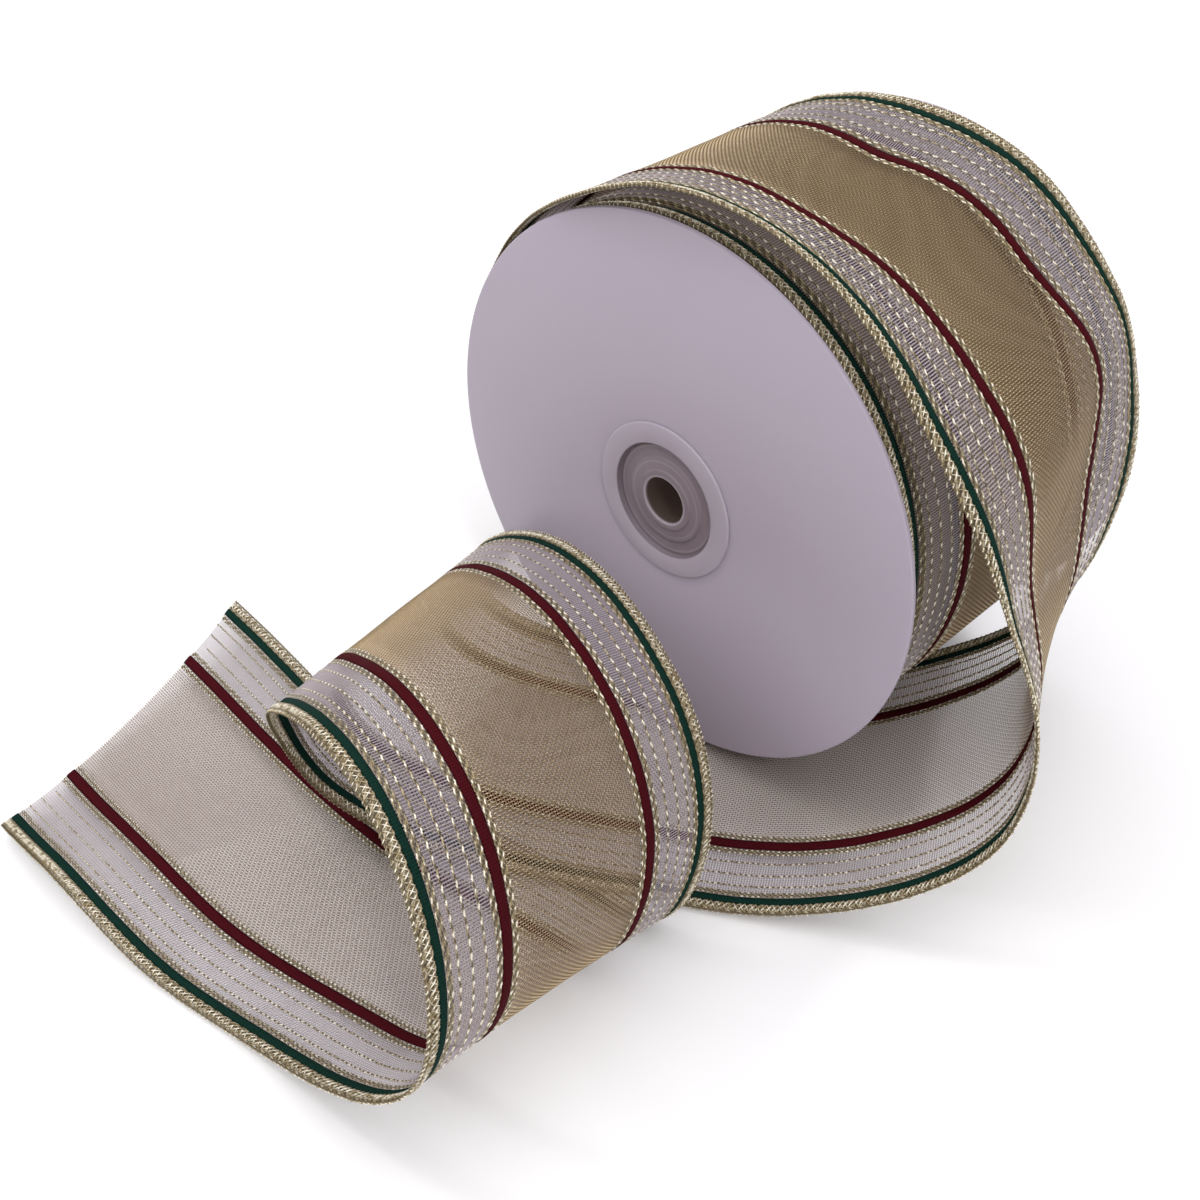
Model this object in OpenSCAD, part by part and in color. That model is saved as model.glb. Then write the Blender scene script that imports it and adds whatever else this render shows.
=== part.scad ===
// Spool of wired ribbon with a length unwound: the spool stands on the ribbon's floor run, and the
// loose end makes one open coil and ends in a slanted cut.
// The origin is the middle of the spool, Y is its axle line, and Z is up.

/* [Spool] */
// Diameter of the two card flanges
flange_d = 102; // [96:1:102]
// Thickness of a card flange
flange_t = 0.9; // [0.6:0.1:2.4]
// Gap between the ribbon's edge and the inner face of a flange
edge_gap = 1.1; // [0.2:0.1:2]
// Outer diameter of the kraft paper core tube
core_d = 50; // [34:1:80]
// Wall thickness of the core tube
core_wall = 2; // [1:0.5:4]
// Outer diameter of the wound pack of ribbon
pack_d = 102; // [90:0.2:102]

/* [Hub caps] */
// Diameter of the thin rim that lies on the flange
cap_rim_d = 29.4; // [27:0.2:32]
// Diameter of the barrel that plugs the flange's hole
barrel_d = 23.4; // [22:0.2:24]
// Bore for a dispenser rod
bore_d = 8.7; // [6:0.1:10]
// Length of the barrel, from its rim inwards
barrel_l = 7; // [5:0.5:12]
// Length of the collar round the bore, from the cap's web inwards
collar_l = 10; // [6:0.5:16]

/* [Ribbon] */
// Width of the ribbon from edge to edge
ribbon_w = 63; // [60:0.5:63]
// Thickness of the loose ribbon
ribbon_t = 0.4; // [0.3:0.05:0.5]
// Width of the wire's edge binding
wire_w = 0.6; // [0.4:0.1:1]
// Width of the gold crochet selvedge
selvedge_w = 1.7; // [1:0.05:3]
// Width of the green grosgrain stripe
green_w = 1.6; // [1:0.1:4]
// Width of the gold cord between the green stripe and the sheer band
outer_cord_w = 1.2; // [0.6:0.1:2]
// Width of the sheer band with its metallic threads
sheer_w = 8.35; // [4:0.05:12]
// Width of the gold cord between the sheer band and the burgundy stripe
middle_cord_w = 1.25; // [0.6:0.05:2]
// Width of the burgundy grosgrain stripe
burgundy_w = 2.1; // [1:0.1:4]
// Width of the gold cord between the burgundy stripe and the gold mesh
inner_cord_w = 1.2; // [0.6:0.1:2]

/* [Hidden] */
$fn = 96;

// Colours
card_white = [0.93, 0.92, 0.95];
kraft_brown = [0.42, 0.30, 0.20];
cap_grey = [0.74, 0.74, 0.76, 0.8];
tape_clear = [0.85, 0.80, 0.66];
wire_copper = [0.62, 0.50, 0.26];
lurex_gold = [0.78, 0.66, 0.38];
stripe_green = [0.06, 0.27, 0.20];
stripe_burgundy = [0.33, 0.04, 0.12];
sheer_lilac = [0.80, 0.76, 0.80, 0.6];
mesh_gold = [0.66, 0.57, 0.37, 0.85];

// Spool, worked out from the driving dimensions
pack_half = ribbon_w / 2;
flange_in = pack_half + edge_gap;
flange_out = flange_in + flange_t;
flange_hole_r = barrel_d / 2 + 0.3;
flange_edge_bevel = 0.25;
cap_rim_t = 0.5;
cap_wall = 0.9;
web_depth = 0.1;
web_t = 1;
step_r = 8;
step_h = 0.3;
collar_wall = 1.5;
collar_proud = 0.3;
tape_t = 0.1;
tape_l = 40;
tape_angle = 50;
first_turn_r = core_d / 2 + tape_t + 0.1;

// Bands from the ribbon's edge inwards: each starts where the one before it ends. The gold mesh
// fills what is left in the middle.
band_widths = [wire_w, selvedge_w, green_w, outer_cord_w, sheer_w, middle_cord_w, burgundy_w, inner_cord_w];
function band_start(i) = i == 0 ? 0 : band_start(i - 1) + band_widths[i - 1];
mesh_start = band_start(len(band_widths));

// Route of the loose ribbon, as control points of a smooth curve through its middle, from where it
// leaves the pack to its cut end. Each row holds:
//   x, y, z  where the middle of the ribbon is
//   swing    how far its cross line is turned from +Y towards +X, in degrees
//   dip      how far the far end of its cross line is raised, in degrees
//   bow      how far its middle bulges out of its cross line
route = [
    // off the pack and over the top of the spool
    [-46, 0, 24, 0, 0, 0],
    [-39, 0, 37, 0, 0, 0],
    [-20, -5, 50, -2, -2, 0],
    [0, -8, 56, -6, -6, -3],
    [17, -5, 53, -8, -4, -5],
    [32, -3, 47, -8, -2, -2],
    // down the right-hand side
    [44, -3, 37, -5, -3, 1],
    [53, -3, 28, -10, 2, 3],
    [56, -3, 18, -14, 4, 0],
    [58, -3, 6, -14, -4, -4],
    [63, -4, -11, -22, -9, -3],
    [62, -8, -28, -27, -2, -1],
    // the floor run, on which the spool stands
    [49, -17, -42, -31, 1, 0],
    [30, -30, -52, -31, 0, 0],
    [11, -41, -52, -30, 0, 0],
    [-7, -53, -51, -30, 0, 0],
    // the open coil
    [-23, -63, -48, -28, 0, 0],
    [-35, -69, -40, -24, 3, 1],
    [-34, -70, -27, -14, 4, 2],
    [-22, -74, -13, -3, 2, 2],
    [-6, -79, -3, 3, -3, 2],
    [12, -84, 3, 3, -13, 1],
    [29, -88, -2, 0, -16, 0],
    [40, -92, -15, -3, -15, 0],
    [43, -97, -32, -6, -12, -1],
    [33, -100, -47, 4, -11, 0],
    // the tail, flat on the floor
    [13, -100, -52.5, 11, 0, 0],
    [-10, -106, -52.5, 14, 0, 0],
    [-32, -107, -49, 15, -5, 1],
    [-52, -106, -50, 9, -1, 1],
    [-69, -105, -50, 6, 4, 2],
    [-85, -104, -50, 5, 5, 2]
];
last = len(route) - 1;
rings_per_step = 3;
// The slanted cut takes this many steps of the route off the near edge
cut_steps = 1.6;
// Number of flat strips across the wide gold mesh
mesh_strips = 4;

// Control point number i, with one more in line past each end
function control(i) =
    i < 0 ? 2 * route[0] - route[1] :
    i > last ? 2 * route[last] - route[last - 1] :
    route[i];

// The route at u, a uniform cubic B-spline that starts at row 0 and ends at the last row
function route_at(u) =
    let (i = min(floor(u), last - 1), f = u - i)
    control(i - 1) * pow(1 - f, 3) / 6 +
    control(i) * (3 * pow(f, 3) - 6 * f * f + 4) / 6 +
    control(i + 1) * (-3 * pow(f, 3) + 3 * f * f + 3 * f + 1) / 6 +
    control(i + 2) * pow(f, 3) / 6;

function place(row) = [row[0], row[1], row[2]];
function unit(a) = a / norm(a);

// Direction of the ribbon's cross line, towards its far edge
function across(row) = [sin(row[3]) * cos(row[4]), cos(row[3]) * cos(row[4]), sin(row[4])];

// Where ring number r sits on the route at v across the ribbon: the last rings are drawn back
// towards the near edge, which makes the slanted cut
cut_from = last - 3;
function ring_u(r, v) =
    let (u = r / rings_per_step, cut_end = last - cut_steps * (1 - v / ribbon_w))
    u <= cut_from ? u : cut_from + (u - cut_from) * (cut_end - cut_from) / (last - cut_from);

// Point of the ribbon on ring r, at v from the near edge and h out from its middle surface
function ribbon_point(r, v, h) =
    let (
        u = ring_u(r, v),
        row = route_at(u),
        along = unit(place(route_at(min(u + 0.05, last))) - place(route_at(max(u - 0.05, 0)))),
        out = unit(cross(along, across(row))),
        side = 2 * v / ribbon_w - 1,
        bulge = row[5] * (0.5 - side * side)
    )
    place(row) + across(row) * side * ribbon_w / 2 + out * (bulge + h);

module along_y() {
    rotate([-90, 0, 0]) children();
}

module mirror_pair() {
    children();
    mirror([0, 1, 0]) children();
}

// A tube round the axle line from y to y + length
module axle_tube(y, length, outer_r, inner_r) {
    translate([0, y, 0]) along_y() difference() {
        cylinder(h = length, r = outer_r, $fn = 180);
        translate([0, 0, -1]) cylinder(h = length + 2, r = inner_r, $fn = 180);
    }
}

module flange() {
    translate([0, -flange_out, 0]) along_y() rotate_extrude($fn = 180)
        polygon([
            [flange_hole_r, 0],
            [flange_d / 2 - flange_edge_bevel, 0],
            [flange_d / 2, flange_edge_bevel],
            [flange_d / 2, flange_t - flange_edge_bevel],
            [flange_d / 2 - flange_edge_bevel, flange_t],
            [flange_hole_r, flange_t]
        ]);
}

// The cap's section, with depth measured inwards from the flange's outer face
module hub_cap() {
    rim_r = cap_rim_d / 2;
    barrel_r = barrel_d / 2;
    bore_r = bore_d / 2;
    collar_r = bore_r + collar_wall;
    web_in = web_depth + web_t;
    translate([0, -flange_out, 0]) along_y() rotate_extrude()
        polygon([
            [bore_r, web_depth - collar_proud],
            [collar_r, web_depth - collar_proud],
            [collar_r, web_depth],
            [step_r, web_depth],
            [step_r, web_depth + step_h],
            [barrel_r - cap_wall, web_depth + step_h],
            [barrel_r - cap_wall, -cap_rim_t],
            [rim_r - 0.2, -cap_rim_t],
            [rim_r, -0.2],
            [rim_r, 0],
            [barrel_r, 0],
            [barrel_r, barrel_l],
            [barrel_r - cap_wall, barrel_l],
            [barrel_r - cap_wall, web_in + step_h],
            [collar_r, web_in + step_h],
            [collar_r, web_in + collar_l],
            [bore_r, web_in + collar_l]
        ]);
}

// One band of the wound pack, on one side of its middle
module wound_band(i) {
    mirror_pair()
        axle_tube(band_start(i) - pack_half, band_widths[i], pack_d / 2, first_turn_r);
}

// One strip of the loose ribbon, from v0 to v1 across it, swept along the whole route
module loose_strip(v0, v1, strips) {
    rings = last * rings_per_step;
    corners = 2 * (strips + 1);
    half_t = ribbon_t / 2;
    function strip_v(j) = v0 + (v1 - v0) * j / strips;
    points = [
        for (r = [0:rings]) each concat(
            [for (j = [0:strips]) ribbon_point(r, strip_v(j), half_t)],
            [for (j = [strips:-1:0]) ribbon_point(r, strip_v(j), -half_t)]
        )
    ];
    // Both triangles of each side wall split it the same way as the neighbouring strip does
    walls = [
        for (r = [0:rings - 1], k = [0:corners - 1])
        let (
            a = r * corners + k,
            b = r * corners + (k + 1) % corners,
            c = b + corners,
            d = a + corners
        )
        each k == corners - 1 ? [[a, b, d], [b, c, d]] : [[a, b, c], [a, c, d]]
    ];
    start_cap = [
        for (j = [0:strips - 1])
        let (a = j, b = j + 1, c = corners - 2 - j, d = corners - 1 - j)
        each [[a, c, b], [a, d, c]]
    ];
    end_first = rings * corners;
    end_cap = [
        for (j = [0:strips - 1])
        let (
            a = end_first + j,
            b = end_first + j + 1,
            c = end_first + corners - 2 - j,
            d = end_first + corners - 1 - j
        )
        each [[a, b, c], [a, c, d]]
    ];
    polyhedron(points, concat(walls, start_cap, end_cap));
}

// One band of the loose ribbon, along its near edge and again along its far edge
module loose_band(i) {
    v0 = band_start(i);
    v1 = v0 + band_widths[i];
    loose_strip(v0, v1, 1);
    loose_strip(ribbon_w - v1, ribbon_w - v0, 1);
}

module front_flange() {
    color(card_white) flange();
}

module rear_flange() {
    color(card_white) mirror([0, 1, 0]) flange();
}

module core_tube() {
    color(kraft_brown)
        axle_tube(-flange_in, 2 * flange_in, core_d / 2, core_d / 2 - core_wall);
}

module front_hub_cap() {
    color(cap_grey) hub_cap();
}

module rear_hub_cap() {
    color(cap_grey) mirror([0, 1, 0]) hub_cap();
}

// Clear tape that holds the ribbon's inner end on the core
module start_tape() {
    color(tape_clear) translate([0, -tape_l / 2, 0]) along_y()
        rotate_extrude(angle = tape_angle, $fn = 180)
        translate([core_d / 2, 0])
        square([tape_t, tape_l]);
}

module wound_edge_wires() {
    color(wire_copper) wound_band(0);
}

module wound_selvedges() {
    color(lurex_gold) wound_band(1);
}

module wound_green_stripes() {
    color(stripe_green) wound_band(2);
}

module wound_outer_cords() {
    color(lurex_gold) wound_band(3);
}

module wound_sheer_bands() {
    color(sheer_lilac) wound_band(4);
}

module wound_middle_cords() {
    color(lurex_gold) wound_band(5);
}

module wound_burgundy_stripes() {
    color(stripe_burgundy) wound_band(6);
}

module wound_inner_cords() {
    color(lurex_gold) wound_band(7);
}

module wound_gold_mesh() {
    color(mesh_gold)
        axle_tube(mesh_start - pack_half, ribbon_w - 2 * mesh_start, pack_d / 2, first_turn_r);
}

module loose_edge_wires() {
    color(wire_copper) loose_band(0);
}

module loose_selvedges() {
    color(lurex_gold) loose_band(1);
}

module loose_green_stripes() {
    color(stripe_green) loose_band(2);
}

module loose_outer_cords() {
    color(lurex_gold) loose_band(3);
}

module loose_sheer_bands() {
    color(sheer_lilac) loose_band(4);
}

module loose_middle_cords() {
    color(lurex_gold) loose_band(5);
}

module loose_burgundy_stripes() {
    color(stripe_burgundy) loose_band(6);
}

module loose_inner_cords() {
    color(lurex_gold) loose_band(7);
}

module loose_gold_mesh() {
    color(mesh_gold) loose_strip(mesh_start, ribbon_w - mesh_start, mesh_strips);
}

front_flange();
rear_flange();
core_tube();
front_hub_cap();
rear_hub_cap();
start_tape();
wound_edge_wires();
wound_selvedges();
wound_green_stripes();
wound_outer_cords();
wound_sheer_bands();
wound_middle_cords();
wound_burgundy_stripes();
wound_inner_cords();
wound_gold_mesh();
loose_edge_wires();
loose_selvedges();
loose_green_stripes();
loose_outer_cords();
loose_sheer_bands();
loose_middle_cords();
loose_burgundy_stripes();
loose_inner_cords();
loose_gold_mesh();
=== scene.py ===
"""Looks of the wired ribbon spool: the woven ribbon, the card spool, the stage, the light and the camera."""
import math

import bpy
import numpy as np
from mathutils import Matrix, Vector


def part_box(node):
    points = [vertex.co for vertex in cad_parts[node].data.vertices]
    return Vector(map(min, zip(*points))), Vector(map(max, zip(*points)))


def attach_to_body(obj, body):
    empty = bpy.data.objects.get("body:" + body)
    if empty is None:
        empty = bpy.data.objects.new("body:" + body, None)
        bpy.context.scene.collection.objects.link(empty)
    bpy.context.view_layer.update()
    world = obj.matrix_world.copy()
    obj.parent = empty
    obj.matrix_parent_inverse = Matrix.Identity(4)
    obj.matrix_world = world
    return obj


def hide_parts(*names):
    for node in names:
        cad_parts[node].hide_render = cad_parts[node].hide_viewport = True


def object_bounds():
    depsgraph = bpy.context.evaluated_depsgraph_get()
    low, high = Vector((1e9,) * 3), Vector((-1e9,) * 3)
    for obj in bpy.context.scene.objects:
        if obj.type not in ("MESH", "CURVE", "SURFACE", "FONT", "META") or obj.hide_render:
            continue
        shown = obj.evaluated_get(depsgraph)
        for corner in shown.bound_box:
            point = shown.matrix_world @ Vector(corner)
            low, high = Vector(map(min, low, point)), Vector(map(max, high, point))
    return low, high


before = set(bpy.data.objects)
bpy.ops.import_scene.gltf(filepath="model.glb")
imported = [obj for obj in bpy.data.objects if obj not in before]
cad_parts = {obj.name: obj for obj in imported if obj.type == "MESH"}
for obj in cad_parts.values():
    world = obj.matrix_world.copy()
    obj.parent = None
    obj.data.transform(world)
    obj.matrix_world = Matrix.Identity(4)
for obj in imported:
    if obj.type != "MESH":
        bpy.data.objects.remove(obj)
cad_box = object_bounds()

# ---------------------------------------------------------------- sizes, in metres and degrees

RIBBON_WIDTH = 0.063
RIBBON_MIDDLE = RIBBON_WIDTH / 2

# Bands of the ribbon from its edge inwards: each starts where the one before it ends
BAND_WIDTHS = {
    "edge_wires": 0.0006,
    "selvedges": 0.0017,
    "green_stripes": 0.0016,
    "outer_cords": 0.0012,
    "sheer_bands": 0.00835,
    "middle_cords": 0.00125,
    "burgundy_stripes": 0.0021,
    "inner_cords": 0.0012,
}

# Control points of the loose ribbon's middle line, as in the CAD model:
# x, y, z, swing of the cross line, dip of the cross line, bow of the middle
ROUTE = [
    # off the pack and over the top of the spool
    (-0.046, 0, 0.024, 0, 0, 0),
    (-0.039, 0, 0.037, 0, 0, 0),
    (-0.020, -0.005, 0.050, -2, -2, 0),
    (0, -0.008, 0.056, -6, -6, -0.003),
    (0.017, -0.005, 0.053, -8, -4, -0.005),
    (0.032, -0.003, 0.047, -8, -2, -0.002),
    # down the right-hand side
    (0.044, -0.003, 0.037, -5, -3, 0.001),
    (0.053, -0.003, 0.028, -10, 2, 0.003),
    (0.056, -0.003, 0.018, -14, 4, 0),
    (0.058, -0.003, 0.006, -14, -4, -0.004),
    (0.063, -0.004, -0.011, -22, -9, -0.003),
    (0.062, -0.008, -0.028, -27, -2, -0.001),
    # the floor run, on which the spool stands
    (0.049, -0.017, -0.042, -31, 1, 0),
    (0.030, -0.030, -0.052, -31, 0, 0),
    (0.011, -0.041, -0.052, -30, 0, 0),
    (-0.007, -0.053, -0.051, -30, 0, 0),
    # the open coil
    (-0.023, -0.063, -0.048, -28, 0, 0),
    (-0.035, -0.069, -0.040, -24, 3, 0.001),
    (-0.034, -0.070, -0.027, -14, 4, 0.002),
    (-0.022, -0.074, -0.013, -3, 2, 0.002),
    (-0.006, -0.079, -0.003, 3, -3, 0.002),
    (0.012, -0.084, 0.003, 3, -13, 0.001),
    (0.029, -0.088, -0.002, 0, -16, 0),
    (0.040, -0.092, -0.015, -3, -15, 0),
    (0.043, -0.097, -0.032, -6, -12, -0.001),
    (0.033, -0.100, -0.047, 4, -11, 0),
    # the tail, flat on the floor
    (0.013, -0.100, -0.0525, 11, 0, 0),
    (-0.010, -0.106, -0.0525, 14, 0, 0),
    (-0.032, -0.107, -0.049, 15, -5, 0.001),
    (-0.052, -0.106, -0.050, 9, -1, 0.001),
    (-0.069, -0.105, -0.050, 6, 4, 0.002),
    (-0.085, -0.104, -0.050, 5, 5, 0.002),
]
SAMPLES_PER_STEP = 60    # samples of the curve for each step of the route
CUT_STEPS = 1.6          # steps of the route that the slanted cut takes off the near edge
SKEWED_LENGTH = 0.055    # last stretch of the loose ribbon, skewed to make that cut
PATH_STEP = 0.0002       # from one sample of a finished path to the next

# Creases over the top of the spool, each with its place along the ribbon, its reach and its depth
CREASES = ((0.067, 0.007, 0.0009), (0.100, 0.010, 0.0018))
CREASE_ACROSS = (0.045, 0.008)   # middle of the creases across the ribbon, and their reach
FLARE_FROM = 0.046       # place across the ribbon where its far edge starts to flare
FLARE_WIDTH = 0.014
FLARE_STRETCH = (0.035, 0.168)   # stretch along the ribbon that flares
FLARE_EASE = 0.02        # length over which the flare starts and stops
FLARE_LIFT = 0.001
FLARE_PEAK = (0.136, 0.014)      # where the flare is highest, and how far that reaches
FLARE_PEAK_LIFT = 0.0009

WOUND_TURNS = 1.1        # turns of the pack that are woven, the rest being a drum under them
SAMPLES_PER_TURN = 720
TURN_RADIUS = 0.0499     # middle surface of the outermost wound turn
TURN_PITCH = 0.0005      # how much each turn lies inside the next
PACK_SHIFT = (-0.0008, 0.0008)   # the pack is wound a little off the axle line, along x and z
TAKE_OFF_DEG = 152.4     # angle round the axle line at which the ribbon leaves the pack
END_LIFT = 0.0009        # how far the end of the last turn rises to meet the loose ribbon
END_LIFT_ANGLE = 0.7     # angle over which it rises, in radians
END_EASE = 0.03          # length over which the last turn's hollows fade out
HOLLOW = (0.0033, 0.0012)        # valley beside each edge: its distance from the edge, and its reach
HOLLOW_DEPTH = 0.0007
TIGHT_WIDTH = 0.022      # the ribbon is pulled tight from its near edge this far across
TIGHT_FROM_END = 0.150   # where it is tightest, back from the end of the last turn
TIGHT_REACH = 0.045
TIGHT_DEPTH = 0.0011
DRUM_RADIUS = 0.0484     # outside of the inner turns, which show only as a striped drum
DRUM_INSIDE = 0.0252

WEFT_PITCH = 0.00047     # from one cross thread of the weave to the next
WARP_PITCH = 0.00049     # from one lengthwise thread to the next
LINK = 4 * WEFT_PITCH    # one link of a gold chain passes over four cross threads
CLOTH_STEP = 0.001       # from one row of a cloth's points to the next
STRIPE_THICKNESS = 0.0003
RIB_RISE = 0.00003       # how far each rib of a stripe stands out
THREAD_INSETS = (0.0012, 0.0037, 0.0064)   # gold threads of a sheer band, from its outer edge
CORD_PAINTED_SHINE = (1.0, 0.5, 1.0)               # painted shine of a cord's three yarns
PLAIT_PLACES = (0.08, 0.29, 0.5, 0.71, 0.92)   # plaited yarns of a selvedge, as shares of its width

flange_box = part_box("front_flange")
FLANGE_RADIUS = float(flange_box[1][0])
FLANGE_OUT = float(-flange_box[0][1])      # from the middle of the spool to a flange's outer face
FLANGE_THICKNESS = float(flange_box[1][1] - flange_box[0][1])
FLANGE_HOLE = 0.012
FLANGE_ROUNDING = 0.0003
CAP_ROUNDING = 0.00018
CAP_RECESS = 0.0106      # radius at which a hub cap's recess meets its rim
CAP_BORE = 0.0047        # just outside the radius of its bore

FLOOR_Z = float(cad_box[0][2]) - 0.0002
FLOOR_HALF = 3.0
SKY_HORIZON = 0.12       # brightness of the studio's walls
SKY_CEILING = 1.95       # brightness straight above
SKY_START = 0.3          # height above which the light grows, from 0 at the horizon to 1 straight above
PAPER_BRIGHTNESS = 1.0   # pale paper behind the floor, which lights nothing
SOFTBOX_SIZE = 0.15
CAMERA_PLACE = (0.1399, -0.1909, 0.1491)
CAMERA_DOWN_DEG = 39.14  # how far the camera looks down
CAMERA_TURN_DEG = 44.64  # how far it is turned from +Y towards -X
CAMERA_LENS = 45.0       # in millimetres, on a sensor 36 mm wide


# ---------------------------------------------------------------- the ribbon's paths

def unit(vectors):
    return vectors / np.linalg.norm(vectors, axis=-1, keepdims=True)


def read_off(at, known, rows):
    """Rows of values that are known at some distances, read off at others."""
    return np.stack([np.interp(at, known, column) for column in rows.T], axis=-1)


def hill(x, middle, reach):
    """A smooth bump of height 1 round the middle."""
    return np.exp(-((x - middle) / reach) ** 2)


def unevenness(s, v, amount):
    """A gentle waviness of the cloth, in metres."""
    long_wave = np.sin(s * 118 + v * 61) + 0.6 * np.sin(s * 251 - v * 143 + 1.3)
    short_wave = 0.35 * np.sin(s * 610 + v * 420 + 0.4)
    return amount * (long_wave + short_wave) / 2


class Path:
    """A ribbon's middle line in even steps, with its cross direction, outward direction and bow."""

    def __init__(self, centre, across, bow, cut=0.0):
        reach = np.r_[0, np.cumsum(np.linalg.norm(np.diff(centre, axis=0), axis=1))]
        self.length = reach[-1]
        self.cut = cut
        self.s = np.linspace(0, self.length, int(self.length / PATH_STEP) + 1)
        self.centre = read_off(self.s, reach, centre)
        self.across = unit(read_off(self.s, reach, across))
        self.out = unit(np.cross(np.gradient(self.centre, axis=0), self.across))
        self.bow = np.interp(self.s, reach, bow)

    def pulled_back(self, s, v):
        """Draws the last stretch back towards the near edge, which makes the slanted cut."""
        start = self.length - SKEWED_LENGTH
        end = self.length - self.cut * (1 - v / RIBBON_WIDTH)
        return np.where(s > start, start + (s - start) * (end - start) / SKEWED_LENGTH, s)

    def point(self, s, v, h):
        """The point s along the ribbon, v across it from the near edge and h out from its middle surface."""
        s, v, h = np.broadcast_arrays(s, v, h)
        s = self.pulled_back(s, v) if self.cut else s
        side = 2 * v / RIBBON_WIDTH - 1
        lift = np.interp(s, self.s, self.bow) * (0.5 - side**2) + h
        centre = read_off(s, self.s, self.centre)
        across = read_off(s, self.s, self.across)
        out = read_off(s, self.s, self.out)
        return centre + across * (side * RIBBON_MIDDLE)[..., None] + out * lift[..., None]


class LoosePath(Path):
    """The loose ribbon, along a uniform cubic B-spline with the route as its control points."""

    def __init__(self):
        rows = np.array(ROUTE, float)
        rows = np.vstack([2 * rows[0] - rows[1], rows, 2 * rows[-1] - rows[-2]])
        last = len(ROUTE) - 1
        u = np.linspace(0, last, last * SAMPLES_PER_STEP + 1)
        i = np.minimum(u.astype(int), last - 1)
        f = (u - i)[:, None]
        weights = [(1 - f) ** 3, 3 * f**3 - 6 * f**2 + 4, -3 * f**3 + 3 * f**2 + 3 * f + 1, f**3]
        at = sum(weight * rows[i + k] for k, weight in enumerate(weights)) / 6
        centre = at[:, :3]
        swing = np.radians(at[:, 3])
        dip = np.radians(at[:, 4])
        across = np.stack([np.sin(swing) * np.cos(dip), np.cos(swing) * np.cos(dip), np.sin(dip)], axis=1)
        cut_off = centre[u >= last - CUT_STEPS]
        cut = np.linalg.norm(np.diff(cut_off, axis=0), axis=1).sum()
        super().__init__(centre, across, at[:, 5], cut)

    def relief(self, s, v):
        """The creases over the spool, and the far edge flared over the rear flange."""
        crease = hill(v, *CREASE_ACROSS) * sum(depth * hill(s, at, reach) for at, reach, depth in CREASES)
        rise = np.clip((v - FLARE_FROM) / FLARE_WIDTH, 0, 1)
        rise = rise**2 * (3 - 2 * rise)
        start, end = FLARE_STRETCH
        along = np.clip((s - start) / FLARE_EASE, 0, 1) * np.clip((end - s) / FLARE_EASE, 0, 1)
        flare = rise * along * (FLARE_LIFT + FLARE_PEAK_LIFT * hill(s, *FLARE_PEAK))
        return unevenness(s, v, amount=0.00015) - crease + flare


class WoundPath(Path):
    """The outermost turns of the pack, which end where the loose ribbon leaves it."""

    def __init__(self):
        back = np.linspace(WOUND_TURNS * 2 * math.pi, 0, int(WOUND_TURNS * SAMPLES_PER_TURN))
        angle = math.radians(TAKE_OFF_DEG) + back
        radius = TURN_RADIUS - TURN_PITCH * back / (2 * math.pi)
        radius = radius + END_LIFT * np.clip(1 - back / END_LIFT_ANGLE, 0, 1) ** 2
        x = PACK_SHIFT[0] + radius * np.cos(angle)
        z = PACK_SHIFT[1] + radius * np.sin(angle)
        across = np.tile([0.0, 1.0, 0.0], (len(angle), 1))
        super().__init__(np.stack([x, 0 * angle, z], axis=1), across, 0 * angle)

    def relief(self, s, v):
        """Hollows just inside both edges, and a stretch pulled tight low down behind the front card."""
        hollow = HOLLOW_DEPTH * hill(np.minimum(v, RIBBON_WIDTH - v), *HOLLOW)
        tight = np.clip(1 - v / TIGHT_WIDTH, 0, 1) * hill(s, self.length - TIGHT_FROM_END, TIGHT_REACH)
        eased = np.clip((self.length - s) / END_EASE, 0, 1)
        return unevenness(s, v, amount=0.00005) - eased * (hollow + TIGHT_DEPTH * tight)


# ---------------------------------------------------------------- mesh helpers

def new_object(name, points, faces, material, uv=None):
    """A smooth mesh of quads, with its weave coordinates if it has any."""
    mesh = bpy.data.meshes.new(name)
    mesh.vertices.add(len(points))
    mesh.vertices.foreach_set("co", np.ascontiguousarray(points, np.float32).ravel())
    mesh.loops.add(faces.size)
    mesh.loops.foreach_set("vertex_index", faces.ravel().astype(np.int32))
    mesh.polygons.add(len(faces))
    mesh.polygons.foreach_set("loop_start", np.arange(0, faces.size, 4, dtype=np.int32))
    mesh.polygons.foreach_set("loop_total", np.full(len(faces), 4, np.int32))
    mesh.polygons.foreach_set("use_smooth", np.full(len(faces), True))
    if uv is not None:
        layer = mesh.uv_layers.new(name="weave")
        layer.data.foreach_set("uv", uv[faces.ravel()].astype(np.float32).ravel())
    mesh.update()
    mesh.validate()
    mesh.materials.append(material)
    obj = bpy.data.objects.new(name, mesh)
    bpy.context.scene.collection.objects.link(obj)
    return obj


def grid_faces(rows, columns, wrap=False):
    """Quads of a grid of points, closed round its columns if wrap is true."""
    last = columns if wrap else columns - 1
    r, c = np.meshgrid(np.arange(rows - 1), np.arange(last), indexing="ij")
    a = r * columns + c
    b = r * columns + (c + 1) % columns
    return np.stack([a, b, b + columns, a + columns], axis=-1).reshape(-1, 4)


def end_faces(first, columns):
    """Quads that close a ring of an even number of points."""
    half = columns // 2
    return np.array([[first + k, first + k + 1, first + columns - 2 - k, first + columns - 1 - k]
                     for k in range(half - 1)])


def tube_faces(rings, sides):
    """Quads of a tube with closed ends."""
    ends = [end_faces(0, sides)[:, ::-1], end_faces((rings - 1) * sides, sides)]
    return np.concatenate([grid_faces(rings, sides, wrap=True)] + ends)


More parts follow.
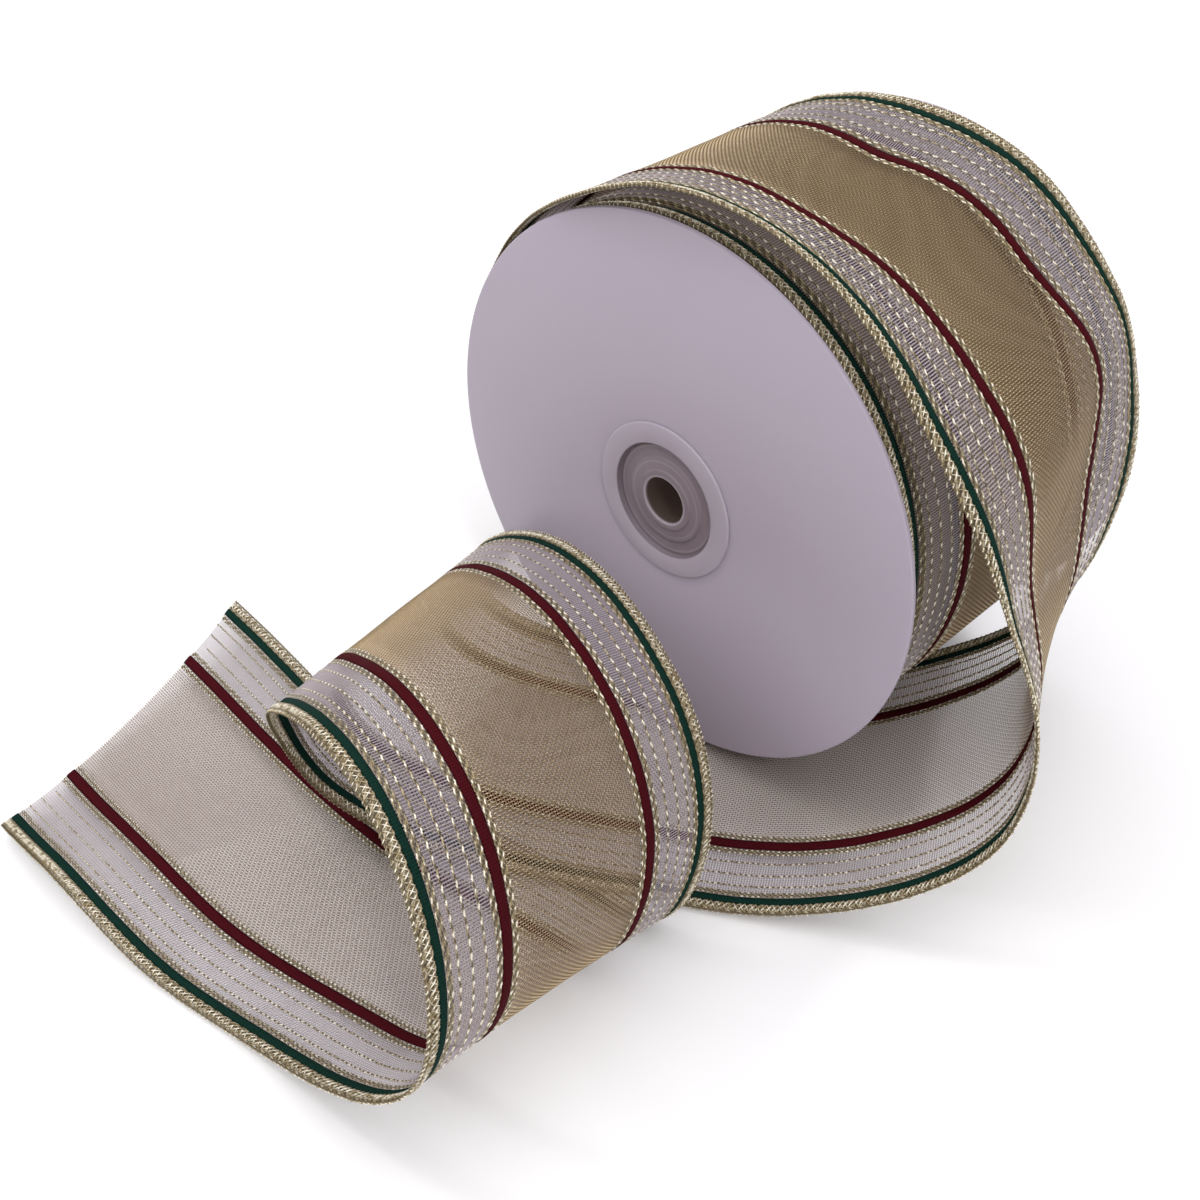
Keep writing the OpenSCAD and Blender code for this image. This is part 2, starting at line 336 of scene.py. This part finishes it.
def lathe(name, outline, y_of_zero, inwards, material, segments, shift=(0, 0)):
    """Turns an outline of (radius, depth) round the axle line; depth runs inwards from y_of_zero."""
    outline = np.array(outline)
    radius, depth = outline.T
    angle = np.linspace(0, 2 * math.pi, segments + 1)[:-1, None]
    x = shift[0] + radius * np.cos(angle)
    y = 0 * angle + y_of_zero + inwards * depth
    z = shift[1] + radius * np.sin(angle)
    points = np.stack([x, y, z], axis=-1).reshape(-1, 3)
    faces = grid_faces(segments + 1, len(outline), wrap=True) % len(points)
    faces = faces if inwards < 0 else faces[:, ::-1]
    return new_object(name, points, faces, material, np.tile(outline, (segments, 1)))


def rounded(points, radius, steps=4):
    """Rounds each corner of a closed outline with a small arc."""
    points = [np.array(point, float) for point in points]
    result = []
    for i, corner in enumerate(points):
        before = points[i - 1] - corner
        after = points[(i + 1) % len(points)] - corner
        reach = min(radius, 0.45 * np.linalg.norm(before), 0.45 * np.linalg.norm(after))
        start = corner + before / np.linalg.norm(before) * reach
        end = corner + after / np.linalg.norm(after) * reach
        for t in np.linspace(0, 1, steps):
            result.append((1 - t) ** 2 * start + 2 * t * (1 - t) * corner + t**2 * end)
    return result


class Weaving:
    """One piece of ribbon: its points, quads and weave coordinates, gathered along a path."""

    def __init__(self, path):
        self.path = path
        self.points, self.faces, self.uv, self.count = [], [], [], 0

    def add(self, points, faces, uv):
        """Adds points and their quads. Each point has a pair of weave coordinates."""
        self.points.append(points.reshape(-1, 3))
        self.faces.append(faces + self.count)
        self.uv.append(np.stack(np.broadcast_arrays(*uv), axis=-1).reshape(-1, 2))
        self.count += len(self.points[-1])

    def make(self, name, material):
        points, faces, uv = (np.concatenate(part) for part in (self.points, self.faces, self.uv))
        return new_object(name, points, faces, material, uv)

    def cloth(self, v0, v1, strips):
        """A single layer of cloth from v0 to v1 across the ribbon."""
        rows = int(self.path.length / CLOTH_STEP) + 1
        s = np.linspace(0, self.path.length, rows)[:, None]
        v = np.linspace(v0, v1, strips + 1)
        points = self.path.point(s, v, self.path.relief(s, v))
        self.add(points, grid_faces(rows, strips + 1), (s, v))

    def stripe(self, v0, v1):
        """A ribbed stripe with a domed section, closed all round: one rib for each cross thread."""
        rings = 2 * int(self.path.length / WEFT_PITCH) + 1
        s = np.linspace(0, self.path.length, rings)[:, None]
        rib = RIB_RISE * (np.arange(rings) % 2)[:, None]
        middle = (v0 + v1) / 2
        v = middle + (v1 - v0) / 2 * np.array([-1.0, -0.55, 0.55, 1.0, 0.55, -0.55])
        height = (STRIPE_THICKNESS / 2 + rib) * np.array([0.0, 1.0, 1.0, 0.0, -1.0, -1.0])
        points = self.path.point(s, v, height + self.path.relief(s, middle))
        self.add(points, tube_faces(rings, len(v)), (s, v))

    def wefts(self, v0, v1, stops, wide, thick):
        """The cross threads of a band, one flattened tube each. They carry their height and place as UVs."""
        v = np.linspace(v0, v1, stops)[:, None]
        turn = np.linspace(0, 2 * math.pi, 5)[:-1]
        height = np.sin(turn)
        faces = tube_faces(stops, len(turn))
        for k in range(1, int(self.path.length / WEFT_PITCH)):
            s = k * WEFT_PITCH + wide / 2 * np.cos(turn)
            points = self.path.point(s, v, thick / 2 * height + self.path.relief(s, v))
            self.add(points, faces, (height, v + k % 2 * WARP_PITCH))

    def yarn(self, s, v, h, radius, shine, back=None):
        """A yarn through the places s, v, h. Its front's and back's painted shine is its second weave
        coordinate.
        """
        turn = np.linspace(0, 2 * math.pi, 5)[:-1] + math.pi / 4
        lift = (h + self.path.relief(s, v))[:, None]
        around = v[:, None] + radius * np.cos(turn)
        points = self.path.point(s[:, None], around, lift + radius * np.sin(turn))
        back = shine if back is None else back
        faced = np.where(np.sin(turn) > 0, shine[:, None], back[:, None])
        self.add(points, tube_faces(len(s), len(turn)), (s[:, None], faced))

    def chain(self, middle, reach, rise, radius, shift, facing, painted_shine, per_link=8):
        """One yarn of a gold chain: each link slants across, then jumps back. Its painted shine is highest
        at the ends of each link on the front, and comes in painted beads of light and shade on the back.
        """
        k = np.arange(int((self.path.length / LINK + 1) * per_link))
        s = (k / per_link - shift) * LINK
        part = (k % per_link) / (per_link - 1)
        v = middle + facing * reach * (2 * part - 1)
        shine = painted_shine * np.cos(math.pi * part) ** 2
        back = painted_shine * np.clip(0.3 + np.cos(4 * math.pi * part), 0, 1)
        inside = (s >= 0) & (s <= self.path.length)
        self.yarn(s[inside], v[inside], rise * shine[inside], radius, shine[inside], back[inside])


# ---------------------------------------------------------------- materials

class Nodes:
    """Short-hand for building one node material."""

    def __init__(self, name):
        self.material = bpy.data.materials.new(name)
        self.material.use_nodes = True
        self.tree = self.material.node_tree
        self.shader = self.tree.nodes["Principled BSDF"]
        self.place = self.add("ShaderNodeTexCoord").outputs["Object"]

    def add(self, kind, links=None, **values):
        node = self.tree.nodes.new(kind)
        for key, value in values.items():
            setattr(node, key, value)
        for key, value in (links or {}).items():
            self.put(node.inputs[key], value)
        return node

    def put(self, socket, value):
        if isinstance(value, bpy.types.NodeSocket):
            self.tree.links.new(value, socket)
        else:
            socket.default_value = value

    def math(self, operation, a, b=0.0, c=0.0, clamp=False):
        node = self.add("ShaderNodeMath", {0: a, 1: b, 2: c}, operation=operation, use_clamp=clamp)
        return node.outputs[0]

    def product(self, a, b):
        return self.math("MULTIPLY", a, b)

    def mix(self, factor, a, b):
        node = self.add("ShaderNodeMix", data_type="RGBA")
        self.put(node.inputs["Factor"], factor)
        self.put(node.inputs[6], a)
        self.put(node.inputs[7], b)
        return node.outputs[2]

    def noise(self, scale, detail):
        values = {"Vector": self.place, "Scale": scale, "Detail": detail}
        return self.add("ShaderNodeTexNoise", values).outputs["Fac"]

    def spread(self, value, low, high, to_low=0.0, to_high=1.0):
        """The value's range from low to high, spread over another range."""
        values = {"Value": value, "From Min": low, "From Max": high, "To Min": to_low, "To Max": to_high}
        return self.add("ShaderNodeMapRange", values).outputs[0]

    def axes(self, vector):
        return self.add("ShaderNodeSeparateXYZ", {0: vector}).outputs

    def weave(self):
        """The two weave coordinates, such as the distance along the ribbon and across it, in metres."""
        parts = self.axes(self.add("ShaderNodeUVMap", uv_map="weave").outputs[0])
        return parts[0], parts[1]

    def wave(self, distance, pitch, shift=0.0):
        """A cosine of the distance, from 0 to 1, with one wave for each pitch."""
        turns = self.math("MULTIPLY_ADD", distance, 2 * math.pi / pitch, shift)
        return self.math("MULTIPLY_ADD", self.math("COSINE", turns), 0.5, 0.5)

    def alternation(self, distance, pitch):
        """A cosine of the distance that changes sign from one thread to the next."""
        return self.math("COSINE", self.product(distance, math.pi / pitch))

    def bump(self, height, strength, distance):
        node = self.add("ShaderNodeBump", {"Height": height, "Strength": strength, "Distance": distance})
        self.put(self.shader.inputs["Normal"], node.outputs[0])

    def set(self, **values):
        for key, value in values.items():
            self.put(self.shader.inputs[key.replace("_", " ")], value)
        return self.material


def rgb(red, green, blue):
    return (red, green, blue, 1.0)


def gold_mesh():
    """Lengthwise gold threads of the open weave, with see-through gaps between them. They are painted dark
    brown where a cross thread lies over them: painted shade under the cross threads.
    """
    n = Nodes("gold_mesh_weave")
    s, v = n.weave()
    warp = n.wave(v, WARP_PITCH)
    crossing = n.product(n.alternation(s, WEFT_PITCH), n.alternation(v, WARP_PITCH))
    weft_on_top = n.spread(crossing, -0.4, 0.4)
    over = n.mix(n.noise(70.0, detail=3.0), rgb(0.36, 0.25, 0.125), rgb(0.46, 0.34, 0.18))
    n.bump(n.product(warp, n.math("MULTIPLY_ADD", weft_on_top, -0.5, 1.0)), strength=0.5, distance=0.00015)
    return n.set(Base_Color=n.mix(weft_on_top, over, rgb(0.14, 0.085, 0.04)), Metallic=0.4, Roughness=0.5,
                 Alpha=n.spread(warp, 0.70, 0.88, 0.03, 1.0))


def weft_weave(n):
    """How far a point of a cross thread faces out, and whether it passes over a lengthwise thread there."""
    height, v = n.weave()
    return n.spread(height, -0.4, 0.4), n.spread(n.alternation(v, WARP_PITCH), -0.4, 0.4)


def gold_weft():
    """Cross thread of the gold mesh: gold on the ribbon's right side, silky and pale on its back. On each
    face it is painted darker where it passes under a lengthwise thread: painted shade. Its gold has painted
    glints from fine noise.
    """
    n = Nodes("gold_weft")
    facing_out, on_top = weft_weave(n)
    shade = n.noise(70.0, detail=3.0)
    glint = n.spread(n.noise(1600.0, detail=1.0), 0.6, 0.72)
    gold = n.mix(shade, rgb(0.58, 0.43, 0.24), rgb(0.69, 0.54, 0.34))
    bright = n.mix(n.product(glint, 0.5), gold, rgb(0.95, 0.85, 0.68))
    right_side = n.mix(on_top, rgb(0.20, 0.13, 0.06), bright)
    silk = n.mix(shade, rgb(0.60, 0.53, 0.54), rgb(0.70, 0.63, 0.65))
    back = n.mix(on_top, silk, rgb(0.30, 0.24, 0.22))
    return n.set(Base_Color=n.mix(facing_out, back, right_side), Metallic=0.35, Roughness=0.45)


def sheer():
    """Organza: fine clear filaments that hold the cross threads together."""
    n = Nodes("sheer_organza_weave")
    warp = n.wave(n.weave()[1], WARP_PITCH)
    n.bump(warp, strength=0.3, distance=0.0001)
    return n.set(Base_Color=n.mix(n.noise(90.0, detail=2.0), rgb(0.46, 0.40, 0.46), rgb(0.54, 0.48, 0.54)),
                 Roughness=0.5, Alpha=n.spread(warp, 0.5, 0.9, 0.03, 0.32))


def sheer_weft():
    """Lilac-white silky cross thread, a little darker at every other crossing with a lengthwise thread:
    painted shade of the weave.
    """
    n = Nodes("weft_yarn")
    on_top = weft_weave(n)[1]
    tone = n.mix(n.noise(400.0, detail=3.0), rgb(0.47, 0.40, 0.42), rgb(0.60, 0.53, 0.555))
    return n.set(Base_Color=n.mix(n.product(on_top, 0.25), tone, rgb(0.30, 0.25, 0.27)), Roughness=0.5,
                 Transmission_Weight=0.35, IOR=1.2)


def grosgrain(name, dark, light):
    """Ribbed silk-like stripe: random tone, lighter along each rib's crest and darker between the ribs,
    which is painted shade of the ribs.
    """
    n = Nodes(name)
    s, v = n.weave()
    rib = n.wave(s, WEFT_PITCH)
    fine = n.wave(v, WARP_PITCH / 2)
    tone = n.math("MULTIPLY_ADD", n.noise(1800.0, detail=2.0), 0.6, n.product(rib, 0.4), clamp=True)
    n.bump(n.math("MULTIPLY_ADD", fine, 0.3, n.product(rib, 0.7)), strength=0.4, distance=0.00015)
    return n.set(Base_Color=n.mix(tone, dark, light), Roughness=0.8, Specular_IOR_Level=0.05)


def lurex(name, shadow, gold, white, glints):
    """Metallic gold yarn with painted light and shade: olive where its painted shine is low, with painted
    cream-white glints where it is high.
    """
    n = Nodes(name)
    shine = n.weave()[1]
    fleck = n.noise(2300.0, detail=1.0)
    gleam = n.noise(1300.0, detail=1.0)
    lit = n.product(n.spread(shine, 0.05, 0.6, 0.15, 1.0), n.spread(fleck, 0.3, 0.5, 0.6, 1.0))
    sparkle = n.spread(gleam, 0.62 - glints, 0.50 - glints, 1.0, 0.0)
    glint = n.product(sparkle, n.spread(shine, 0.5, 0.8))
    n.bump(fleck, strength=0.4, distance=0.00015)
    return n.set(Base_Color=n.mix(glint, n.mix(lit, shadow, gold), white), Metallic=0.35,
                 Roughness=n.spread(fleck, 0.4, 0.7, 0.5, 0.3))


def packed_turns():
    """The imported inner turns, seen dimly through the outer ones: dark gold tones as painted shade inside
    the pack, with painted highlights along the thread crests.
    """
    n = Nodes("packed_turns")
    threads = n.wave(n.axes(n.place)[1], WARP_PITCH)
    tone = n.mix(n.noise(500.0, detail=2.0), rgb(0.17, 0.11, 0.04), rgb(0.30, 0.205, 0.08))
    n.bump(threads, strength=0.5, distance=0.0002)
    return n.set(Base_Color=n.mix(n.product(threads, 0.6), tone, rgb(0.46, 0.325, 0.13)),
                 Metallic=0.2, Roughness=0.5)


def coated_card():
    """Glossy white coated card with faint mottling and a few specks."""
    n = Nodes("coated_card")
    cloud = n.noise(22.0, detail=3.0)
    grain = n.noise(900.0, detail=2.0)
    speck = n.spread(n.noise(130.0, detail=0.0), 0.155, 0.125)
    tint = n.mix(cloud, rgb(0.46, 0.40, 0.485), rgb(0.485, 0.425, 0.505))
    n.bump(n.math("MULTIPLY_ADD", grain, 0.4, cloud), strength=0.05, distance=0.0004)
    return n.set(Base_Color=n.mix(n.product(speck, 0.6), tint, rgb(0.25, 0.22, 0.22)),
                 Roughness=n.spread(grain, 0.3, 0.7, 0.36, 0.46), Specular_IOR_Level=0.4, Coat_Weight=0.1,
                 Coat_Roughness=0.2)


def kraft():
    """Brown kraft board with fibres and the seams of its spiral wrap."""
    n = Nodes("kraft_board")
    x, y, z = n.axes(n.place)
    turn = n.math("ARCTAN2", z, x)
    seam = n.math("FRACT", n.math("MULTIPLY_ADD", turn, 1 / (2 * math.pi), n.product(y, 40.0)))
    fibre = n.noise(700.0, detail=4.0)
    tone = n.mix(fibre, rgb(0.20, 0.12, 0.065), rgb(0.36, 0.25, 0.15))
    n.bump(fibre, strength=0.3, distance=0.0003)
    return n.set(Base_Color=n.mix(n.spread(seam, 0.03, 0.0), tone, rgb(0.10, 0.06, 0.03)), Roughness=0.85)


def hub_plastic():
    """Translucent plastic, pale at its rim, with painted shade and painted light: darker in its recess, a
    dark ring at the recess's edge, a dark bore with a faint painted glow, and pale rings on the web's steps
    and a pale edge round the bore as painted highlights.
    """
    n = Nodes("hub_plastic")
    radius, depth = n.weave()
    flow = n.noise(160.0, detail=3.0)
    rim = n.mix(flow, rgb(0.43, 0.37, 0.44), rgb(0.46, 0.405, 0.465))
    # Painted shade: the recess is darker than the rim.
    recess = n.mix(flow, rgb(0.215, 0.17, 0.195), rgb(0.25, 0.20, 0.225))
    tone = n.mix(n.spread(radius, CAP_RECESS, CAP_RECESS + 0.0004), recess, rim)
    # Painted highlights: pale rings on the steps of the web.
    rings = n.spread(n.wave(radius, pitch=0.0027, shift=-4.42), 0.93, 1.0)
    tone = n.mix(n.product(rings, 0.25), tone, rgb(0.45, 0.39, 0.43))
    # Painted shade: a dark ring where the recess meets the rim.
    groove_shade = n.spread(n.math("ABSOLUTE", n.math("SUBTRACT", radius, CAP_RECESS)), 0.00045, 0.00025)
    tone = n.mix(n.product(groove_shade, 0.7), tone, rgb(0.13, 0.10, 0.115))
    # Painted highlight: a pale edge round the bore.
    lip_highlight = n.product(n.spread(radius, CAP_BORE + 0.0002, CAP_BORE), n.spread(depth, 0.0001, -0.0001))
    tone = n.mix(n.product(lip_highlight, 0.7), tone, rgb(0.42, 0.365, 0.40))
    # Painted shade in the bore, which also glows faintly as painted light.
    bore_shade_and_glow = n.product(n.spread(radius, CAP_BORE, CAP_BORE - 0.0002), n.spread(depth, -0.0001, 0.0004))
    n.bump(n.noise(900.0, detail=2.0), strength=0.08, distance=0.0003)
    return n.set(Base_Color=n.mix(bore_shade_and_glow, tone, rgb(0.045, 0.033, 0.026)), Emission_Strength=1.0,
                 Emission_Color=n.mix(bore_shade_and_glow, rgb(0, 0, 0), rgb(0.017, 0.011, 0.009)),
                 Roughness=n.spread(flow, 0.3, 0.7, 0.42, 0.52), Specular_IOR_Level=0.4)


def tape_film():
    """Clear adhesive tape, slightly yellow."""
    n = Nodes("clear_tape")
    streak = n.noise(300.0, detail=2.0)
    n.bump(streak, strength=0.1, distance=0.0003)
    return n.set(Base_Color=n.mix(streak, rgb(0.72, 0.62, 0.40), rgb(0.82, 0.74, 0.55)), Roughness=0.15,
                 Alpha=0.6)


def pale_floor():
    """Plain pale floor."""
    n = Nodes("pale_floor")
    return n.set(Base_Color=n.mix(n.noise(3.0, detail=1.0), rgb(0.93, 0.93, 0.94), rgb(0.95, 0.95, 0.955)),
                 Roughness=0.9)


burgundy = grosgrain("burgundy_grosgrain", rgb(0.034, 0.002, 0.004), rgb(0.075, 0.006, 0.010))
green = grosgrain("green_grosgrain", rgb(0.002, 0.014, 0.010), rgb(0.009, 0.038, 0.027))
# The two gold yarns differ mainly in how many painted glints they get.
bright_gold = lurex("bright_lurex", rgb(0.045, 0.033, 0.013), rgb(0.43, 0.34, 0.19),
                    rgb(1.0, 0.94, 0.78), 0.10)
few_glints_gold = lurex("few_glints_lurex", rgb(0.05, 0.038, 0.018), rgb(0.40, 0.32, 0.18),
                  rgb(0.95, 0.88, 0.70), 0.03)
mesh_gold = gold_mesh()
gold_thread = gold_weft()
organza = sheer()
organza_thread = sheer_weft()
pack_tone = packed_turns()
card = coated_card()
plastic = hub_plastic()


# ---------------------------------------------------------------- ribbon pieces

def band_range(name):
    """Where a band starts and ends across the ribbon, from the near edge."""
    start = 0.0
    for band, width in BAND_WIDTHS.items():
        if band == name:
            return start, start + width
        start += width
    return start, RIBBON_WIDTH - start


def both_sides(name):
    """The band at the near edge, which faces +1, and mirrored at the far edge, which faces -1."""
    v0, v1 = band_range(name)
    return [(1, v0, v1), (-1, RIBBON_WIDTH - v1, RIBBON_WIDTH - v0)]


def mesh_cloth(path):
    """Lengthwise threads of the gold mesh."""
    weaving = Weaving(path)
    weaving.cloth(*band_range("gold_mesh"), strips=24)
    return weaving


def mesh_wefts(path):
    """Cross threads of the gold mesh, which reach under the cords beside it."""
    weaving = Weaving(path)
    v0, v1 = band_range("gold_mesh")
    cord = BAND_WIDTHS["inner_cords"]
    weaving.wefts(v0 - cord, v1 + cord, stops=8, wide=0.00016, thick=0.00018)
    return weaving


def sheer_cloth(path):
    """Lengthwise filaments of both sheer bands."""
    weaving = Weaving(path)
    for _, v0, v1 in both_sides("sheer_bands"):
        weaving.cloth(v0, v1, strips=8)
    return weaving


def sheer_wefts(path):
    """Cross threads of the sheer bands, which reach under the cords beside them."""
    weaving = Weaving(path)
    cords_beside = BAND_WIDTHS["outer_cords"], BAND_WIDTHS["middle_cords"]
    for facing, v0, v1 in both_sides("sheer_bands"):
        before, after = cords_beside[::facing]
        weaving.wefts(v0 - before, v1 + after, stops=5, wide=0.00021, thick=0.00012)
    return weaving


def stripes(path, band):
    """A pair of ribbed stripes."""
    weaving = Weaving(path)
    for _, v0, v1 in both_sides(band):
        weaving.stripe(v0, v1)
    return weaving


def cords(path, band):
    """A pair of cords: three fine yarns that slant together, like a loose plait. The middle one gets half
    the painted shine.
    """
    weaving = Weaving(path)
    for facing, v0, v1 in both_sides(band):
        for k, painted_shine in enumerate(CORD_PAINTED_SHINE):
            place = v0 + (0.2 + 0.3 * k) * (v1 - v0)
            weaving.chain(place, reach=0.00008, rise=0.00005 * painted_shine, radius=0.00015, shift=0.27 * k,
                          facing=facing, painted_shine=painted_shine)
    return weaving


def gold_threads(path):
    """The single gold threads of the sheer bands."""
    weaving = Weaving(path)
    for facing, v0, v1 in both_sides("sheer_bands"):
        outer_edge = v0 if facing > 0 else v1
        for inset in THREAD_INSETS:
            weaving.chain(outer_edge + facing * inset, reach=0.00008, rise=0.00004, radius=0.00016,
                          shift=inset / 0.003, facing=facing, painted_shine=1.0)
    return weaving


def selvedges(path):
    """Plaited yarns along both edges with dimmer painted shine, and zigzag yarns over and under them with
    brighter painted shine.
    """
    weaving = Weaving(path)
    s = np.arange(0, path.length, LINK / 4)
    for facing, v0, v1 in both_sides("selvedges"):
        for k, share in enumerate(PLAIT_PLACES):
            weaving.chain(v0 + share * (v1 - v0), reach=0.00012, rise=0.00005, radius=0.00016,
                          shift=0.23 * k, facing=facing, painted_shine=0.6, per_link=5)
        for side in (1, -1):
            for shift in (0, 2):
                swing = np.abs((np.arange(len(s)) + shift) % 4 - 2) - 1.0
                v = (v0 + v1) / 2 + swing * ((v1 - v0) / 2 - 0.0001)
                h = side * (0.00030 - 0.00012 * np.abs(swing))
                weaving.yarn(s, v, h, radius=0.00015, shine=1 - 0.5 * np.abs(swing))
    return weaving


def edge_binding(path):
    """The edge wires, with gold yarn wound round them five points to a turn. The wire gets a low, even
    painted shine; the wound yarn is painted lighter where it passes over the wire's outer side and darker on
    its inner side.
    """
    weaving = Weaving(path)
    wire = np.arange(0, path.length, WEFT_PITCH)
    yarn = np.arange(0, path.length, WEFT_PITCH / 2.5)
    angle = 2 * math.pi * np.arange(len(yarn)) / 5
    for _, v0, v1 in both_sides("edge_wires"):
        middle = (v0 + v1) / 2
        weaving.yarn(wire, middle + 0 * wire, 0 * wire, radius=0.00015, shine=0 * wire + 0.2)
        weaving.yarn(yarn, middle + 0.0002 * np.cos(angle), 0.0002 * np.sin(angle), radius=0.00013,
                     shine=0.5 + 0.5 * np.sin(angle))
    return weaving


def make_bands(prefix, path):
    """All the pieces of the ribbon along one path, each by the name of its band or its yarns."""
    woven = [
        ("gold_mesh", "gold_mesh_cloth", mesh_cloth(path), mesh_gold),
        ("sheer_bands", "sheer_cloth", sheer_cloth(path), organza),
        ("sheer_wefts", "sheer_wefts", sheer_wefts(path), organza_thread),
        ("gold_wefts", "gold_mesh_wefts", mesh_wefts(path), gold_thread),
    ]
    for band, tone in {"burgundy_stripes": burgundy, "green_stripes": green}.items():
        woven.append((band, f"{band}_weave", stripes(path, band), tone))
    cord_tones = {"inner_cords": bright_gold, "middle_cords": bright_gold, "outer_cords": few_glints_gold}
    for band, tone in cord_tones.items():
        woven.append((band, f"{band}_twist", cords(path, band), tone))
    woven += [
        ("threads", "gold_threads", gold_threads(path), bright_gold),
        ("selvedges", "selvedge_crochet", selvedges(path), bright_gold),
        ("edge_wires", "edge_binding", edge_binding(path), bright_gold),
    ]
    return {band: weaving.make(f"{prefix}_{name}", tone) for band, name, weaving, tone in woven}


def attach(prefix, pieces, body):
    """Puts the pieces on their body and in place of their CAD nodes."""
    for band, piece in pieces.items():
        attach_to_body(piece, body)
        if band not in ("sheer_wefts", "gold_wefts", "threads"):
            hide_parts(f"{prefix}_{band}")


loose = LoosePath()
loose_pieces = make_bands("loose", loose)
attach("loose", loose_pieces, "loose_ribbon")

wound = WoundPath()
wound_pieces = make_bands("wound", wound)
attach("wound", wound_pieces, "spool")


# ---------------------------------------------------------------- inner turns: a striped drum

def drum_ring(name, band, v0, v1, material):
    """One band of the drum that stands for the inner turns of the pack."""
    width = v1 - v0
    outline = [(DRUM_INSIDE, 0), (DRUM_RADIUS, 0), (DRUM_RADIUS, width), (DRUM_INSIDE, width)]
    ring = lathe(name, outline, v0 - RIBBON_MIDDLE, 1, material, segments=256, shift=PACK_SHIFT)
    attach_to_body(ring, "spool")


drum_tones = {"sheer_bands": pack_tone, "green_stripes": green, "burgundy_stripes": burgundy}
for band in BAND_WIDTHS:
    for facing, v0, v1 in both_sides(band):
        end = "near" if facing > 0 else "far"
        drum_ring(f"inner_turns_{band}_{end}", band, v0, v1, drum_tones.get(band, few_glints_gold))
drum_ring("inner_turns_gold_mesh", "gold_mesh", *band_range("gold_mesh"), pack_tone)


# ---------------------------------------------------------------- spool pieces

def flange_outline():
    """Section of a card disc with rounded edges."""
    corners = [(FLANGE_HOLE, 0), (FLANGE_RADIUS, 0), (FLANGE_RADIUS, FLANGE_THICKNESS),
               (FLANGE_HOLE, FLANGE_THICKNESS)]
    return rounded(corners, FLANGE_ROUNDING)


def cap_outline():
    """Rim, barrel, recessed web with a step, and a collar round the bore. The corners are in millimetres."""
    corners = [
        (4.35, -0.2), (5.7, -0.2), (5.85, 0.1), (8.0, 0.1), (8.2, 0.4), (10.8, 0.4), (10.8, -0.5),
        (14.5, -0.5), (14.7, -0.3), (14.7, 0), (11.7, 0), (11.7, 7), (10.8, 7), (10.8, 1.4), (5.85, 1.4),
        (5.85, 11.1), (4.35, 11.1),
    ]
    return rounded([(radius * 0.001, depth * 0.001) for radius, depth in corners], CAP_ROUNDING, steps=3)


for end, y, inwards in (("front", -FLANGE_OUT, 1), ("rear", FLANGE_OUT, -1)):
    disc = lathe(f"{end}_card_disc", flange_outline(), y, inwards, card, segments=256)
    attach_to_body(disc, "spool")
    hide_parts(f"{end}_flange")
    plug = lathe(f"{end}_cap_plug", cap_outline(), y, inwards, plastic, segments=160)
    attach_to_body(plug, "spool")
    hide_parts(f"{end}_hub_cap")

for node, material in (("core_tube", kraft()), ("start_tape", tape_film())):
    cad_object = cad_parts[node]
    cad_object.data.materials.clear()
    cad_object.data.materials.append(material)


# ---------------------------------------------------------------- stage, light and camera

def make_floor():
    corners = [(-FLOOR_HALF, -FLOOR_HALF, FLOOR_Z), (FLOOR_HALF, -FLOOR_HALF, FLOOR_Z),
               (FLOOR_HALF, FLOOR_HALF, FLOOR_Z), (-FLOOR_HALF, FLOOR_HALF, FLOOR_Z)]
    floor = new_object("floor", np.array(corners), np.array([[0, 1, 2, 3]]), pale_floor())


def add_softbox(name, place, power):
    """A small square lamp that shines at the middle of the spool."""
    data = bpy.data.lights.new(name, "AREA")
    data.shape = "SQUARE"
    data.size = SOFTBOX_SIZE
    data.energy = power
    lamp = bpy.data.objects.new(name, data)
    lamp.location = place
    lamp.rotation_euler = (-Vector(place)).to_track_quat("-Z", "Y").to_euler()
    bpy.context.scene.collection.objects.link(lamp)


def make_sky():
    """Soft studio light, dim at the horizon and bright above, behind a plain pale backdrop."""
    world = bpy.data.worlds.new("studio")
    world.use_nodes = True
    tree = world.node_tree
    place = tree.nodes.new("ShaderNodeTexCoord")
    height = tree.nodes.new("ShaderNodeSeparateXYZ")
    tree.links.new(place.outputs["Generated"], height.inputs[0])
    ramp = tree.nodes.new("ShaderNodeMapRange")
    ramp.inputs["From Min"].default_value = SKY_START
    ramp.inputs["To Min"].default_value = SKY_HORIZON
    ramp.inputs["To Max"].default_value = SKY_CEILING
    tree.links.new(height.outputs[2], ramp.inputs["Value"])
    light = tree.nodes["Background"]
    light.inputs["Color"].default_value = (1.0, 0.985, 1.0, 1)
    tree.links.new(ramp.outputs[0], light.inputs["Strength"])
    paper = tree.nodes.new("ShaderNodeBackground")
    paper.inputs["Color"].default_value = (1, 1, 1, 1)
    paper.inputs["Strength"].default_value = PAPER_BRIGHTNESS
    rays = tree.nodes.new("ShaderNodeLightPath")
    choice = tree.nodes.new("ShaderNodeMixShader")
    tree.links.new(rays.outputs["Is Camera Ray"], choice.inputs[0])
    tree.links.new(light.outputs[0], choice.inputs[1])
    tree.links.new(paper.outputs[0], choice.inputs[2])
    tree.links.new(choice.outputs[0], tree.nodes["World Output"].inputs["Surface"])
    bpy.context.scene.world = world


def make_camera():
    data = bpy.data.cameras.new("camera")
    data.lens = CAMERA_LENS
    data.sensor_width = 36.0
    data.clip_start = 0.01
    camera = bpy.data.objects.new("camera", data)
    camera.location = CAMERA_PLACE
    camera.rotation_euler = (math.radians(90 - CAMERA_DOWN_DEG), 0, math.radians(CAMERA_TURN_DEG))
    bpy.context.scene.collection.objects.link(camera)
    bpy.context.scene.camera = camera


make_floor()
make_sky()
add_softbox("side_sparkle", (0.8, -0.5, 0.9), 3)
add_softbox("left_sparkle", (-0.7, -0.4, 1.0), 2)
make_camera()
bpy.context.scene.view_settings.view_transform = "Standard"
